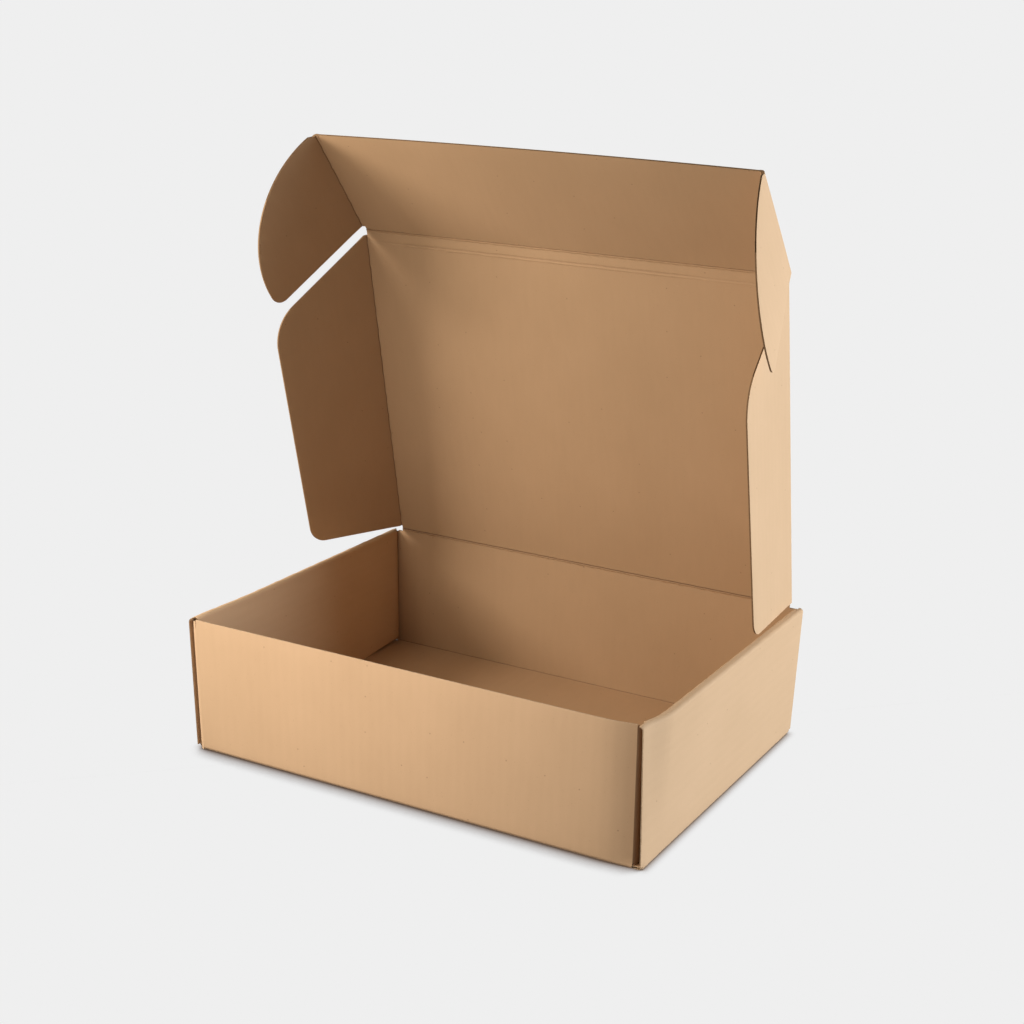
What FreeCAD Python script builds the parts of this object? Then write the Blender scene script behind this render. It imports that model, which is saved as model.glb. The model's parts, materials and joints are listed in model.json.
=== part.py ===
import FreeCAD, Part
import math
import os
import re
import Sketcher

# Document box: one die-cut sheet of thin corrugated board folded into a tray with
# rolled side walls, a lid hinged on the back wall, and a tuck flap on the lid.
# Millimetres. Origin at the centre of the tray's underside, X right, Y back, Z up.

# name, value, what it is
SIZES = [
    ("board", "1.5", "thickness of the corrugated board"),
    ("inside_wide", "300", "clear width between the inner side panels"),
    ("box_deep", "227", "front wall outer face to back wall outer face"),
    ("wall_high", "86", "height of the back wall and the rolled side walls"),
    ("front_short", "1.2", "front wall lower than the back wall by this"),
    ("ply_gap", "0.6", "air between the boards of a rolled side wall"),
    ("bend_in", "1", "inside radius of a fold"),
    ("corner_in", "2", "inside radius of the upright corner folds"),
    ("ply_end", "0.2", "side panel ends short of the front and back faces by this"),
    ("inner_end", "1.1", "inner side panel ends short of the front wall by this"),
    ("tab_long", "64", "length of a corner tab"),
    ("tab_low", "3", "height of the corner tab's lower edge"),
    ("tab_trim", "11", "chamfer on a corner tab's free corners"),
    ("tab_clear", "0.6", "corner tab stays below the roll by this"),
    ("foot_clear", "0.3", "inner side panel's lower edge above the base"),
    ("foot_rise", "3", "rise of that edge towards the corners"),
    ("foot_run", "40", "length over which it rises"),
    ("lock_wide", "30", "width of a lock tab"),
    ("lock_set", "61.5", "middle of a lock tab from the box's front or back face"),
    ("lock_taper", "1.2", "lock tab narrows by this at each end"),
    ("slot_clear", "0.3", "clearance round a lock tab in its slot"),
    ("hinge_clear", "0.3", "clearance between a folding edge and its parent"),
    ("slide_clear", "0.2", "clearance between nested flaps"),
    ("lid_short", "3.3", "lid shorter than the box is deep by this"),
    ("tuck_short", "2", "tuck flap shorter than the wall is high by this"),
    ("lid_lean", "12.5", "forward lean of the lid, degrees from upright"),
    ("tuck_fold", "27", "tuck flap folded this far from the lid, degrees"),
    ("left_fold", "70", "left lid flap folded this far, degrees"),
    ("right_fold", "86", "right lid flap folded this far, degrees"),
    ("left_ear_fold", "59.5", "left ear folded this far, degrees"),
    ("right_ear_fold", "78", "right ear folded this far, degrees"),
    ("flap_short", "10", "lid flap narrower than the wall is high by this"),
    ("flap_start", "2", "lid flap's lower end above the lid fold"),
    ("foot_trim", "1.25", "how far the flap's lower corner lies below the rest line"),
    ("flap_gap", "5.1", "lid flap's upper end below the tuck flap fold"),
    ("flap_drop", "38.7", "fall of the flap's upper edge towards its free edge"),
    ("flap_low_round", "14", "radius of the flap's lower corner"),
    ("flap_high_round", "30", "radius of the flap's upper corner"),
    ("ear_start", "1", "ear's straight edge from the tuck flap fold"),
    ("ear_tip", "7.5", "radius of the ear's tip"),
    ("crease_back", "8", "second crease of the lid from the tuck flap fold"),
    ("crease_wide", "2", "width of a pressed crease"),
    ("crease_deep", "0.3", "depth of a pressed crease"),
    # worked out from the sizes above
    ("front_high", "=wall_high - front_short", "height of the front wall"),
    ("fold_length", "=box_deep - lid_short", "lid fold to tuck flap fold"),
    ("tuck_deep", "=wall_high - tuck_short", "tuck flap fold to free edge"),
    ("flap_wide", "=wall_high - flap_short", "lid flap fold to free edge"),
    ("flap_top", "=fold_length - flap_gap", "lid flap's upper end"),
    ("bend_out", "=board + bend_in", "outside radius of a fold"),
    ("corner_out", "=board + corner_in", "outside radius of an upright corner fold"),
    ("half_deep", "=box_deep / 2", "half the depth"),
    ("in_face", "=inside_wide / 2", "inner panel, inside face"),
    ("in_back", "=in_face + board", "inner panel, hidden face"),
    ("tab_face", "=in_back + ply_gap", "corner tab, inside face"),
    ("tab_back", "=tab_face + board", "corner tab, outside face"),
    ("out_back", "=tab_back + ply_gap", "outer side panel, hidden face"),
    ("out_face", "=out_back + board", "outer side panel, outside face"),
    ("base_half", "=out_face - bend_out", "flat of the base ends here across"),
    ("roll_in", "=in_face + bend_out", "middle of the roll's inner bend"),
    ("bend_mid", "=wall_high - bend_out", "height of the middle of the roll's bends"),
    ("roll_under", "=wall_high - board", "underside of the roll"),
    ("base_deep", "=half_deep - bend_out", "flat of the base ends here front and back"),
    ("wall_in", "=half_deep - board", "inside face of the front and back walls"),
    ("wall_half", "=tab_back - corner_out", "flat of the front wall ends here"),
    ("corner_mid", "=half_deep - corner_out", "middle of the upright corner bends"),
    ("ply_half", "=half_deep - ply_end", "half length of an outer side panel"),
    ("inner_half", "=wall_in - inner_end", "half length of an inner side panel"),
    ("tab_tip", "=corner_mid - tab_long", "free end of a corner tab"),
    ("tab_high", "=roll_under - tab_clear", "upper edge of a corner tab"),
    ("foot", "=board + foot_clear", "lower edge of an inner side panel"),
    ("lock_low", "=foot_clear", "lower end of a lock tab"),
    ("lock_near", "=half_deep - lock_set - lock_wide / 2", "near side of a lock tab"),
    ("lock_far", "=half_deep - lock_set + lock_wide / 2", "far side of a lock tab"),
    ("half_board", "=board / 2", "half the board"),
    ("edge_back", "=half_board + hinge_clear", "parent edge back from a fold axis"),
    ("hinge_deep", "=half_deep - half_board", "lid fold axis, back"),
    ("hinge_high", "=wall_high + edge_back", "lid fold axis, up"),
    ("ear_axis", "=in_face - slide_clear - half_board", "ear fold axis, across"),
    ("flap_axis", "=ear_axis - board - slide_clear", "lid flap fold axis, across"),
    ("lid_half", "=flap_axis - edge_back", "half width of the lid"),
    ("tuck_half", "=ear_axis - edge_back", "half width of the tuck flap"),
    ("lid_end", "=fold_length - edge_back", "lid's edge at the tuck flap fold"),
    ("flap_foot", "=flap_wide * tan(lid_lean) - foot_trim", "lower corner of a lid flap"),
    ("flap_head", "=flap_top - flap_drop", "upper corner of a lid flap"),
    ("ear_mid", "=ear_start + ear_tip", "middle of the ear's curves"),
    ("ear_reach", "=tuck_deep - ear_mid", "ear fold to tip"),
    ("ear_round", "=ear_reach - ear_tip", "where the ear's tip begins"),
]
DEGREES = ("lid_lean", "tuck_fold", "left_fold", "right_fold",
           "left_ear_fold", "right_ear_fold")

doc = FreeCAD.newDocument("document_box")
sheet = doc.addObject("Spreadsheet::Sheet", "Sizes")
NAMES = {name for name, value, note in SIZES}


def fill_sheet():
    for row, (name, value, note) in enumerate(SIZES, 1):
        if name in DEGREES:
            value = "=" + value + " deg"
        sheet.set(f"A{row}", note)
        sheet.set(f"B{row}", value)
        sheet.setAlias(f"B{row}", name)
    doc.recompute()


def tied(text):
    """The expression with every size name pointed at the sheet."""
    def point(found):
        word = found.group(0)
        return "Sizes." + word if word in NAMES else word
    return re.sub(r"[a-z_]+", point, text)


def number(text):
    value = sheet.evalExpression(text)
    return float(getattr(value, "Value", value))


def new_body(name):
    body = doc.addObject("PartDesign::Body", name)
    body.Label = name
    return body


def origin_plane(body, role):
    return [item for item in body.Origin.OriginFeatures if item.Role == role][0]


def arc_between(first, last, middle):
    """Arc about the middle, with whether it had to be drawn backwards."""
    start = math.atan2(first[1] - middle[1], first[0] - middle[0])
    stop = math.atan2(last[1] - middle[1], last[0] - middle[0])
    turn = (stop - start) % (2 * math.pi)
    backwards = turn > math.pi
    if backwards:
        start, stop = stop, start
    radius = math.hypot(first[0] - middle[0], first[1] - middle[1])
    centre = FreeCAD.Vector(middle[0], middle[1], 0)
    circle = Part.Circle(centre, FreeCAD.Vector(0, 0, 1), radius)
    return Part.ArcOfCircle(circle, start, stop), backwards


def draw(sketch, corners):
    """A closed outline tied to the sheet. A corner is (across, up), or
    (across, up, middle across, middle up, radius) where an arc leaves it."""
    spots = [(number(c[0]), number(c[1])) for c in corners]
    ends = []
    for place, corner in enumerate(corners):
        here = spots[place]
        there = spots[(place + 1) % len(spots)]
        if len(corner) == 2:
            line = Part.LineSegment(FreeCAD.Vector(*here, 0), FreeCAD.Vector(*there, 0))
            ends.append((sketch.addGeometry(line, False), 1, 2))
            continue
        middle = (number(corner[2]), number(corner[3]))
        arc, backwards = arc_between(here, there, middle)
        index = sketch.addGeometry(arc, False)
        ends.append((index, 2, 1) if backwards else (index, 1, 2))
        made = sketch.addConstraint(
            Sketcher.Constraint("Radius", index, number(corner[4])))
        sketch.setExpression(f"Constraints[{made}]", tied(corner[4]))
    for place, (index, start, stop) in enumerate(ends):
        following = ends[(place + 1) % len(ends)]
        sketch.addConstraint(Sketcher.Constraint(
            "Coincident", index, stop, following[0], following[1]))
        for kind, text, value in (("DistanceX", corners[place][0], spots[place][0]),
                                  ("DistanceY", corners[place][1], spots[place][1])):
            made = sketch.addConstraint(
                Sketcher.Constraint(kind, -1, 1, index, start, value))
            sketch.setExpression(f"Constraints[{made}]", tied(text))


def new_sketch(body, role, label, outlines, lift="0"):
    sketch = body.newObject("Sketcher::SketchObject", label)
    sketch.Label = label
    sketch.AttachmentSupport = [(origin_plane(body, role), "")]
    sketch.MapMode = "FlatFace"
    if lift != "0":
        sketch.setExpression("AttachmentOffset.Base.z", tied(lift))
    for corners in outlines:
        draw(sketch, corners)
    return sketch


def pad(body, sketch, length, symmetric=False, backwards=False):
    made = body.newObject("PartDesign::Pad", sketch.Label + "_pad")
    made.Profile = sketch
    made.SideType = "Symmetric" if symmetric else "One side"
    made.Reversed = backwards
    made.setExpression("Length", tied(length))
    body.Tip = made
    doc.recompute()
    return made


def pocket(body, sketch, depth, symmetric=False):
    """A pocket, turned the other way if it took nothing away."""
    before = body.Shape.Volume
    made = body.newObject("PartDesign::Pocket", sketch.Label + "_cut")
    made.Profile = sketch
    made.SideType = "Symmetric" if symmetric else "One side"
    made.setExpression("Length", tied(depth))
    body.Tip = made
    doc.recompute()
    if body.Shape.Volume > before - 0.001:
        made.Reversed = True
        doc.recompute()
    if body.Shape.Volume > before - 0.001:
        raise RuntimeError(sketch.Label + " cuts nothing")
    return made


def mirrored(body, originals, role):
    made = body.newObject("PartDesign::Mirrored", originals[0].Label + "_other_side")
    made.Originals = originals
    made.MirrorPlane = (origin_plane(body, role), [""])
    body.Tip = made
    doc.recompute()
    return made


def mirrored_twice(body, originals):
    """Copies of one corner to the other three."""
    made = body.newObject("PartDesign::MultiTransform", originals[0].Label + "_corners")
    made.Originals = originals
    across = body.newObject("PartDesign::Mirrored", originals[0].Label + "_across")
    across.MirrorPlane = (origin_plane(body, "YZ_Plane"), [""])
    along = body.newObject("PartDesign::Mirrored", originals[0].Label + "_along")
    along.MirrorPlane = (origin_plane(body, "XZ_Plane"), [""])
    made.Transformations = [across, along]
    body.Tip = made
    doc.recompute()
    return made


def opposite(text):
    return "-(" + text + ")"


def flipped(corners):
    """The same outline on the other side of the upright axis."""
    turned = []
    for corner in corners:
        if len(corner) == 2:
            turned.append((opposite(corner[0]), corner[1]))
        else:
            turned.append((opposite(corner[0]), corner[1],
                           opposite(corner[2]), corner[3], corner[4]))
    return turned


# ---- tray -------------------------------------------------------------------

def front_to_back_section():
    """Front wall, base and back wall, one board with two folds."""
    return [
        (opposite("base_deep"), "0"),
        ("base_deep", "0", "base_deep", "bend_out", "bend_out"),
        ("half_deep", "bend_out"),
        ("half_deep", "wall_high"),
        ("wall_in", "wall_high"),
        ("wall_in", "bend_out", "base_deep", "bend_out", "bend_in"),
        ("base_deep", "board"),
        (opposite("base_deep"), "board", opposite("base_deep"), "bend_out", "bend_in"),
        (opposite("wall_in"), "bend_out"),
        (opposite("wall_in"), "front_high"),
        (opposite("half_deep"), "front_high"),
        (opposite("half_deep"), "bend_out", opposite("base_deep"), "bend_out", "bend_out"),
    ]


def side_to_side_section():
    """Base, outer side panels and the rolls over their tops, down to the inner bend."""
    right = [
        ("base_half", "0", "base_half", "bend_out", "bend_out"),
        ("out_face", "bend_out"),
        ("out_face", "bend_mid", "base_half", "bend_mid", "bend_out"),
        ("base_half", "wall_high"),
        ("roll_in", "wall_high", "roll_in", "bend_mid", "bend_out"),
        ("in_face", "bend_mid"),
        ("in_back", "bend_mid", "roll_in", "bend_mid", "bend_in"),
        ("roll_in", "roll_under"),
        ("base_half", "roll_under", "base_half", "bend_mid", "bend_in"),
        ("out_back", "bend_mid"),
        ("out_back", "bend_out", "base_half", "bend_out", "bend_in"),
        ("base_half", "board"),
    ]
    return right + walked_back(flipped(right))


def walked_back(corners):
    """The same outline walked the other way round."""
    turned = []
    count = len(corners)
    for place in range(count - 1, -1, -1):
        before = corners[place - 1] if place else None
        spot = corners[place][:2]
        if before is not None and len(before) == 5:
            turned.append(spot + before[2:])
        else:
            turned.append(spot)
    return turned


def roll_end_section():
    """Outer side panel and the outer half of the roll."""
    return [
        ("out_face", "bend_out"),
        ("out_face", "bend_mid", "base_half", "bend_mid", "bend_out"),
        ("base_half", "wall_high"),
        ("roll_in", "wall_high"),
        ("roll_in", "roll_under"),
        ("base_half", "roll_under", "base_half", "bend_mid", "bend_in"),
        ("out_back", "bend_mid"),
        ("out_back", "bend_out"),
    ]


def slot_outline(side):
    """A slot in the base for one lock tab."""
    near = "in_face - slot_clear"
    far = "in_back + slot_clear"
    low = "lock_near - slot_clear"
    high = "lock_far + slot_clear"
    if side < 0:
        low, high = opposite(high), opposite(low)
    return [(near, low), (far, low), (far, high), (near, high)]


def lock_tab(side):
    """The corners that one lock tab adds to the inner panel's lower edge."""
    corners = [
        ("lock_near", "foot"),
        ("lock_near", "board"),
        ("lock_near + lock_taper", "lock_low"),
        ("lock_far - lock_taper", "lock_low"),
        ("lock_far", "board"),
        ("lock_far", "foot"),
    ]
    return corners if side > 0 else flipped(corners)[::-1]


def inner_panel_outline():
    """Inner side panel with its two lock tabs and its lower edge cut back."""
    rise_from = "inner_half - foot_run"
    rise_to = "foot + foot_rise"
    return [
        (opposite("inner_half"), "bend_mid"),
        (opposite("inner_half"), rise_to),
        (opposite(rise_from), "foot"),
        *lock_tab(-1),
        *lock_tab(1),
        (rise_from, "foot"),
        ("inner_half", rise_to),
        ("inner_half", "bend_mid"),
    ]


def corner_bend_outline():
    """The upright fold between a wall's end and its corner tab."""
    return [
        ("wall_half", "wall_in", "wall_half", "corner_mid", "corner_in"),
        ("tab_face", "corner_mid"),
        ("tab_back", "corner_mid", "wall_half", "corner_mid", "corner_out"),
        ("wall_half", "half_deep"),
    ]


def corner_tab_outline():
    """A corner tab, seen from the side, with its free corners cut off."""
    return [
        ("corner_mid", "tab_low"),
        ("corner_mid", "tab_high"),
        ("tab_tip + tab_trim", "tab_high"),
        ("tab_tip", "tab_high - tab_trim"),
        ("tab_tip", "tab_low + tab_trim"),
        ("tab_tip + tab_trim", "tab_low"),
    ]


def make_tray():
    body = new_body("tray")
    section = new_sketch(body, "YZ_Plane", "front_to_back", [front_to_back_section()])
    pad(body, section, "2 * wall_half", symmetric=True)
    section = new_sketch(body, "XZ_Plane", "side_to_side", [side_to_side_section()])
    pad(body, section, "2 * inner_half", symmetric=True)
    ends = roll_end_section()
    section = new_sketch(body, "XZ_Plane", "roll_ends", [ends, flipped(ends)])
    pad(body, section, "2 * ply_half", symmetric=True)
    slots = [slot_outline(-1), slot_outline(1)]
    slots = slots + [flipped(corners) for corners in slots]
    section = new_sketch(body, "XY_Plane", "lock_slots", slots)
    pocket(body, section, "2 * board", symmetric=True)
    panel = new_sketch(body, "YZ_Plane", "inner_panel", [inner_panel_outline()], "in_face")
    panel_pad = pad(body, panel, "board")
    mirrored(body, [panel_pad], "YZ_Plane")
    bend = new_sketch(body, "XY_Plane", "corner_bend", [corner_bend_outline()], "tab_low")
    bend_pad = pad(body, bend, "tab_high - tab_low")
    tab = new_sketch(body, "YZ_Plane", "corner_tab", [corner_tab_outline()], "tab_face")
    tab_pad = pad(body, tab, "board")
    mirrored_twice(body, [bend_pad, tab_pad])
    return body


# ---- lid and flaps ----------------------------------------------------------

def leaf_section(length):
    """Section of a panel whose fold edge is rounded about the fold axis."""
    return [
        ("half_board", "0"),
        ("half_board", length),
        ("-half_board", length),
        ("-half_board", "0", "0", "0", "half_board"),
        ("0", "-half_board", "0", "0", "half_board"),
    ]


def crease_outline(height):
    """A shallow pressed groove in a panel's inside face."""
    return [
        ("-half_board", height + " - crease_wide / 2"),
        ("-half_board + crease_deep", height),
        ("-half_board", height + " + crease_wide / 2"),
    ]


def hang(body, parent, spot, axis, angle):
    """Place a panel on its parent's fold, turned about the fold axis."""
    where = "; ".join(tied(text) for text in spot)
    step = ("create(<<placement>>; create(<<vector>>; " + where
            + "); create(<<rotation>>; create(<<vector>>; " + axis + "); "
            + tied(angle) + "))")
    if parent is not None:
        step = parent.Name + ".Placement * " + step
    body.setExpression("Placement", step)
    doc.recompute()


def make_lid():
    body = new_body("lid_panel")
    section = new_sketch(body, "YZ_Plane", "lid_section", [leaf_section("lid_end")])
    pad(body, section, "2 * lid_half", symmetric=True)
    crease = crease_outline("fold_length - crease_back")
    section = new_sketch(body, "YZ_Plane", "lid_crease", [crease])
    pocket(body, section, "2 * lid_half", symmetric=True)
    hang(body, None, ("0", "hinge_deep", "hinge_high"), "1; 0; 0", "lid_lean")
    return body


def make_tuck(lid):
    body = new_body("tuck_flap")
    section = new_sketch(body, "YZ_Plane", "tuck_section", [leaf_section("tuck_deep")])
    pad(body, section, "2 * tuck_half", symmetric=True)
    hang(body, lid, ("0", "0", "fold_length"), "1; 0; 0", "tuck_fold")
    return body


def lid_flap_outline():
    """Lid flap outline with square corners; the rounding is a fillet."""
    return [
        ("0", "flap_start"),
        ("flap_wide", "flap_foot"),
        ("flap_wide", "flap_head"),
        ("0", "flap_top"),
    ]


def ear_outline():
    """Ear with a straight edge by the fold, a small tip and a long curve."""
    return [
        ("0", "ear_start"),
        ("ear_round", "ear_start", "ear_round", "ear_mid", "ear_tip"),
        ("ear_reach", "ear_mid", "0", "ear_mid", "ear_reach"),
        ("0", "tuck_deep"),
    ]


def round_edges(body, picks):
    """Round the upright edges that stand at the picked corners."""
    for spot, radius in picks:
        tip = body.Tip
        found = []
        for index, edge in enumerate(tip.Shape.Edges, 1):
            ends = [vertex.Point for vertex in edge.Vertexes]
            across = [abs(point.x - number(spot[0])) < 0.01 for point in ends]
            along = [abs(point.z - number(spot[1])) < 0.01 for point in ends]
            if all(across) and all(along):
                found.append(f"Edge{index}")
        if len(found) != 1:
            raise RuntimeError("corner edge not found")
        made = body.newObject("PartDesign::Fillet", "round_" + radius)
        made.Base = (tip, found)
        made.setExpression("Radius", tied(radius))
        body.Tip = made
        doc.recompute()


def fold_edge(body, low, high):
    """The rounded fold edge of a flap hung on an upright axis."""
    rod = body.newObject("PartDesign::AdditiveCylinder", "fold_edge")
    rod.setExpression("Radius", tied("half_board"))
    rod.setExpression("Height", tied(high + " - (" + low + ")"))
    rod.setExpression("Placement.Base.z", tied(low))
    body.Tip = rod
    doc.recompute()


def make_lid_flap(name, side, lid, fold):
    body = new_body(name)
    corners = lid_flap_outline()
    wide = "flap_wide"
    if side < 0:
        corners = flipped(corners)
        wide = opposite(wide)
    flat = new_sketch(body, "XZ_Plane", name + "_outline", [corners])
    pad(body, flat, "board", symmetric=True)
    round_edges(body, [((wide, "flap_foot"), "flap_low_round"),
                       ((wide, "flap_head"), "flap_high_round")])
    fold_edge(body, "flap_start", "flap_top")
    across = "flap_axis" if side > 0 else "-flap_axis"
    turn = "-" + fold if side > 0 else fold
    hang(body, lid, (across, "0", "0"), "0; 0; 1", turn)
    return body


def make_ear(name, side, tuck, fold):
    body = new_body(name)
    corners = ear_outline() if side > 0 else flipped(ear_outline())
    flat = new_sketch(body, "XZ_Plane", name + "_outline", [corners])
    pad(body, flat, "board", symmetric=True)
    fold_edge(body, "ear_start", "tuck_deep")
    across = "ear_axis" if side > 0 else "-ear_axis"
    turn = "-" + fold if side > 0 else fold
    hang(body, tuck, (across, "0", "0"), "0; 0; 1", turn)
    return body


# ---- check and write --------------------------------------------------------

def check_states():
    for item in doc.Objects:
        wrong = [word for word in item.State if word in ("Invalid", "Error")]
        if wrong:
            raise RuntimeError(item.Label + " is " + ", ".join(wrong))


def write_steps(bodies):
    os.makedirs("parts", exist_ok=True)
    for body in bodies:
        shape = body.Shape
        if shape.isNull() or not shape.isValid():
            raise RuntimeError(body.Label + " has no valid shape")
        if len(shape.Solids) != 1:
            raise RuntimeError(body.Label + " is not one solid")
    for body in bodies:
        body.Shape.exportStep("parts/" + body.Label + ".step")
        box = body.Shape.BoundBox
        print(body.Label, round(body.Shape.Volume, 1),
              [round(v, 2) for v in (box.XMin, box.YMin, box.ZMin,
                                     box.XMax, box.YMax, box.ZMax)])


fill_sheet()
tray = make_tray()
lid = make_lid()
tuck = make_tuck(lid)
pieces = [
    tray,
    lid,
    make_lid_flap("lid_flap_left", -1, lid, "left_fold"),
    make_lid_flap("lid_flap_right", 1, lid, "right_fold"),
    tuck,
    make_ear("tuck_ear_left", -1, tuck, "left_ear_fold"),
    make_ear("tuck_ear_right", 1, tuck, "right_ear_fold"),
]
doc.recompute()
check_states()
write_steps(pieces)
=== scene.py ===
import json
import math
import bmesh
import bpy
import numpy as np
from mathutils import Matrix, Vector


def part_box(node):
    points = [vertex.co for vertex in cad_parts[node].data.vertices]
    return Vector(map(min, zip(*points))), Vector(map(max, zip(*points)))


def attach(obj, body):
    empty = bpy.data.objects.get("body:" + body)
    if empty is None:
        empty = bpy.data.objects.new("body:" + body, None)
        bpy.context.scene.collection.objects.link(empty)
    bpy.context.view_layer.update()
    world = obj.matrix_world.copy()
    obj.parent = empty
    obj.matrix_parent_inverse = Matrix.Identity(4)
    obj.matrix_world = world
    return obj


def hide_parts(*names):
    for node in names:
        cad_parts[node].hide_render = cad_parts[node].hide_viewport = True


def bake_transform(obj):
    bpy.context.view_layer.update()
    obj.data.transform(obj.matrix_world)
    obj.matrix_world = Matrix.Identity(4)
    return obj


# An open document box of thin kraft corrugated board. Each panel is real board:
# two liners with a fluted medium between them, cut to the panel's outline.
# Flat outlines are in millimetres on the sheet before it is folded: "a" runs
# across the flutes and "b" along them. Everything in the scene is in metres.

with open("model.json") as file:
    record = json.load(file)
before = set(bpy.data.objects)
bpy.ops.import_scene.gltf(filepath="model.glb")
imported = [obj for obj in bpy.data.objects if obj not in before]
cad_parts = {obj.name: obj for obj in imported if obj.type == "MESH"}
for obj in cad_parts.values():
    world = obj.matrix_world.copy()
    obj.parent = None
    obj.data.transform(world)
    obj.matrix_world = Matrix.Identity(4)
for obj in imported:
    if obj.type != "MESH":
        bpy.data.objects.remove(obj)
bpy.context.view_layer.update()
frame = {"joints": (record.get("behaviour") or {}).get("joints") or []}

MM = 0.001
X = Vector((1, 0, 0))

# the board
BOARD = 1.5
HALF = BOARD / 2
LINER = 0.26
FLUTE_PITCH = 3.4
GRID = 6.5

# folds, as the box is built
BEND_IN = 1.0
BEND_OUT = BEND_IN + BOARD
BEND_MID = BEND_IN + HALF
CORNER_IN = 2.0
CORNER_OUT = CORNER_IN + BOARD
PLY_GAP = 0.6
FOLD_GAP = 2.4
QUARTER = math.pi / 2
SIDES = ((-1, "left"), (1, "right"))

# the front right corner is folded sharply and isn't pushed right home
SHARP_CORNER = 2.0
CORNER_SLACK = 2.7
CURL = 3.0
CURL_FROM = 128.0
CURL_TO = 150.0
WALL_LEAN = 3.6
LEAN_FROM = 90.0
LEAN_RUN = 58.0
DRAWN_TOP = 5.4
DRAWN_FOOT = 0.2
DRAWN_RUN = 28.0
PANEL_SHORT = 0.6
ROLL_PUSHED = 3.6
ROLL_PUSHED_RUN = 18.0

# the base is a little narrower than the top, and the front left corner spreads
SPLAY_LEFT = 2.4
SPLAY_RIGHT = 2.7
FRONT_SPREAD = 2.5
SPREAD_RUN = 60.0
LEFT_SLOPE = 1.3
ROLL_BULGE = 0.5
ROLL_SAG = 0.16
PANEL_WAVE = 0.12

# a die squashes the board along its cuts
RING = 0.8
SQUASH = 0.24
MOST_SQUASH = 0.4

# the flutes, drawn as ribbons near the board's cut ends
FLUTE_BACK = 0.95
FLUTE_DEEP = 9.0
FLUTE_INSET = 0.25
FLUTE_STEPS = 8
FLUTE_HIGH = HALF - LINER - 0.2
FLUTE_THICK = 0.17
SAME_EDGE = 8.0

# the lock tabs at the foot of each inner panel, and their slots
LOCK_NEAR = 37.0
LOCK_FAR = 67.0
LOCK_TAPER = 1.2
SLOT_CLEAR = 0.3

# the corner tabs
TAB_LONG = 64.0
TAB_TRIM = 11.0
TAB_CLEAR = 0.2


def corners_of(node):
    low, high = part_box(node)
    return Vector(low) / MM, Vector(high) / MM


tray_low, tray_high = corners_of("tray")
OUT_FACE = tray_high.x
HALF_DEEP = tray_high.y
WALL_HIGH = tray_high.z
FRONT_HIGH = WALL_HIGH - 1.2
OUT_BACK = OUT_FACE - BOARD
TAB_BACK = OUT_BACK - PLY_GAP
TAB_FACE = TAB_BACK - BOARD
IN_BACK = TAB_FACE - PLY_GAP
IN_FACE = IN_BACK - BOARD
BASE_HALF = OUT_FACE - BEND_OUT
BASE_DEEP = HALF_DEEP - BEND_OUT
ROLL_IN = IN_FACE + BEND_OUT
WALL_HALF = TAB_BACK - CORNER_OUT
PLY_HALF = HALF_DEEP - 0.2
INNER_HALF = HALF_DEEP - BOARD - 1.1

joints = {joint["name"]: joint for joint in frame["joints"]}

# a fold that stands further over than its joint's rest, in degrees
PRESSED_IN = {"ear_left_fold": 12.5}


def joint_at(name):
    return Vector(joints[name]["pos_m"]) / MM


def folded(name):
    """How far a fold is turned from flat, in radians."""
    return math.radians(-joints[name]["range_deg"][0] + PRESSED_IN.get(name, 0))


HINGE = joint_at("lid_fold")
TUCK_AT = joint_at("tuck_fold")
FOLD_LENGTH = (TUCK_AT - HINGE).length
LID_UP = (TUCK_AT - HINGE).normalized()
LID_IN = X.cross(LID_UP)
FLAP_AXIS = joint_at("flap_right_fold").x
EAR_AXIS = joint_at("ear_right_fold").x
TUCK_TURN = folded("tuck_fold")
TUCK_UP = LID_UP * math.cos(TUCK_TURN) + LID_IN * math.sin(TUCK_TURN)
TUCK_IN = LID_IN * math.cos(TUCK_TURN) - LID_UP * math.sin(TUCK_TURN)

# the outlines of the flaps and ears and the lid's second crease, from their folds
TUCK_DEEP = 84.0
SECOND_CREASE = 8.0
FLAP_WIDE = 80.5
FLAP_TAPER = 5.0
FLAP_START = 2.4
FLAP_TOP = FOLD_LENGTH - 4.6
FLAP_DROP = 38.0
FLAP_FOOT = 19.4
FLAP_ROUNDS = {1: 14.0, 2: 28.0}
EAR_START = 2.6
EAR_TIP = 8.7
EAR_WIDE = 81.2
EAR_MIDDLE = (8.8, 13.7)
EAR_RADIUS = 72.4
SIDE_GAP = 1.05

# where each panel lies on the flat sheet, for patterns that run across folds
FRONT_START = BASE_DEEP + QUARTER * BEND_MID
HINGE_ON_SHEET = FRONT_START + HINGE.z - BEND_OUT
TUCK_ON_SHEET = HINGE_ON_SHEET + FOLD_LENGTH


def wobble(place, seed, period):
    """Smooth unevenness between about -1 and 1 along a fold or an edge."""
    place = np.asarray(place, dtype=float)
    total = np.zeros_like(place)
    for k, share in enumerate((0.5, 0.3, 0.2)):
        step = 2 * math.pi * (1.0 + 0.83 * k) / period
        total += share * np.sin(step * place + 1.7 * seed + 2.3 * k)
    return total


def ease(value):
    """0 to 1 with a soft start and end."""
    value = np.clip(value, 0, 1)
    return value * value * (3 - 2 * value)


# ---- flat outlines

def lines_between(low, high, step=GRID):
    count = max(1, round((high - low) / step))
    return [low + (high - low) * k / count for k in range(count + 1)]


def arc_points(middle, radius, first, last, steps):
    """Points of an arc, angles in degrees."""
    points = []
    for k in range(steps + 1):
        turn = math.radians(first + (last - first) * k / steps)
        points.append((middle[0] + radius * math.cos(turn),
                       middle[1] + radius * math.sin(turn)))
    return points


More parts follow.
